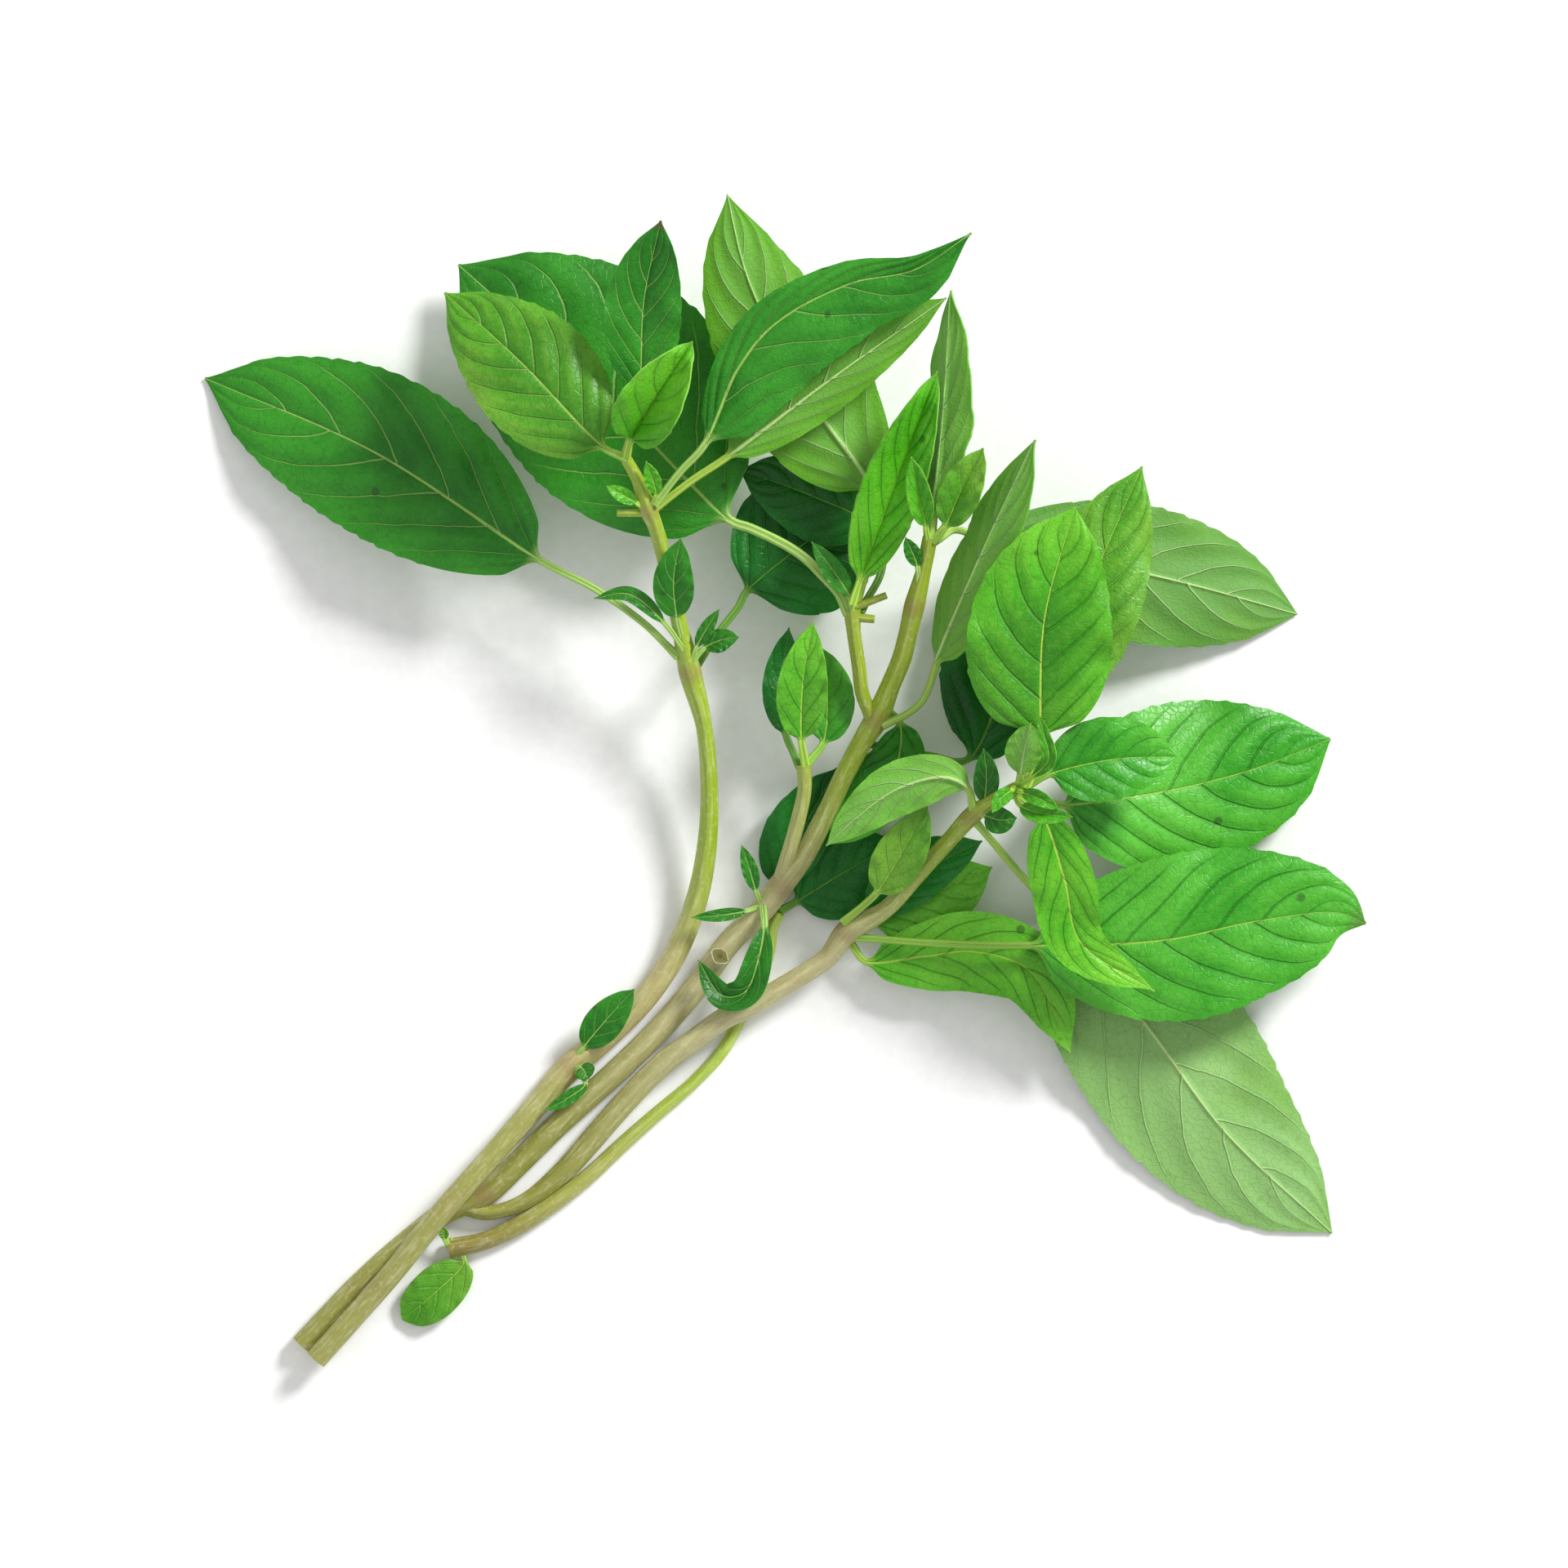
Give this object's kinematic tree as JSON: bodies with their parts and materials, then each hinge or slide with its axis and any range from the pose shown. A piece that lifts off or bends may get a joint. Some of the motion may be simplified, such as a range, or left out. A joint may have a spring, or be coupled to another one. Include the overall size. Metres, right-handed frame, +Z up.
{
  "type": "bunch of cut basil",
  "caption": "bunch of fresh cut basil: slender stems lying side by side, with broad toothed leaves fanned out at the far end",
  "frame": {"origin": "on the table, under the middle of the bunch's outline", "axes": "+Z is up from the table, +Y points from the near edge to the far leaves, +X to the right seen from above"},
  "size_m": [0.2146, 0.2154, 0.0447],
  "materials": {
    "stem_green": "fresh ribbed green stem, satin",
    "stem_straw": "pale straw-green stem with fine long streaks, satin",
    "leaf_dark": "deep green upper leaf face, soft satin with sunken veins",
    "leaf_mid": "mid green leaf, soft satin with sunken veins",
    "leaf_bright": "bright young leaf, satin and slightly puckered",
    "leaf_pale": "pale matt leaf underside with raised veins"
  },
  "bodies": {
    "root": {"left_stem": "stem_green", "middle_stem": "stem_straw", "slender_stem": "stem_green", "left_leaf_outer": "leaf_dark", "left_leaf_inner": "leaf_dark", "left_leaf_crown_north": "leaf_dark", "left_leaf_long": "leaf_dark", "centre_leaf_broad": "leaf_dark", "centre_leaf_dark": "leaf_dark", "centre_leaf_folded": "leaf_dark", "centre_leaf_deep": "leaf_dark", "centre_leaf_under": "leaf_dark", "centre_leaf_curled": "leaf_dark", "shoot_leaf_left": "leaf_dark", "right_leaf_under_west": "leaf_dark", "slender_leaf": "leaf_dark", "left_leaf_crown_west": "leaf_mid", "centre_leaf_narrow_back": "leaf_mid", "centre_leaf_droop": "leaf_mid", "shoot_leaf_right": "leaf_mid", "right_leaf_crown_back": "leaf_mid", "right_leaf_east": "leaf_mid", "right_leaf_broad": "leaf_mid", "right_leaf_low_narrow": "leaf_mid", "right_leaf_axil": "leaf_mid", "right_leaf_under_east": "leaf_mid", "left_leaf_crown_folded": "leaf_bright", "centre_leaf_top": "leaf_bright", "shoot_leaf_bright": "leaf_bright", "right_leaf_crown_north": "leaf_bright", "right_leaf_east_small": "leaf_bright", "right_leaf_hanging": "leaf_bright", "right_leaf_bud": "leaf_bright", "left_leaf_long_lower": "leaf_pale", "centre_leaf_north": "leaf_pale", "centre_leaf_narrow": "leaf_pale", "centre_leaf_pale": "leaf_pale", "centre_leaf_east": "leaf_pale", "right_leaf_low_broad": "leaf_pale", "right_leaf_west": "leaf_pale"}
  },
  "joints": []
}
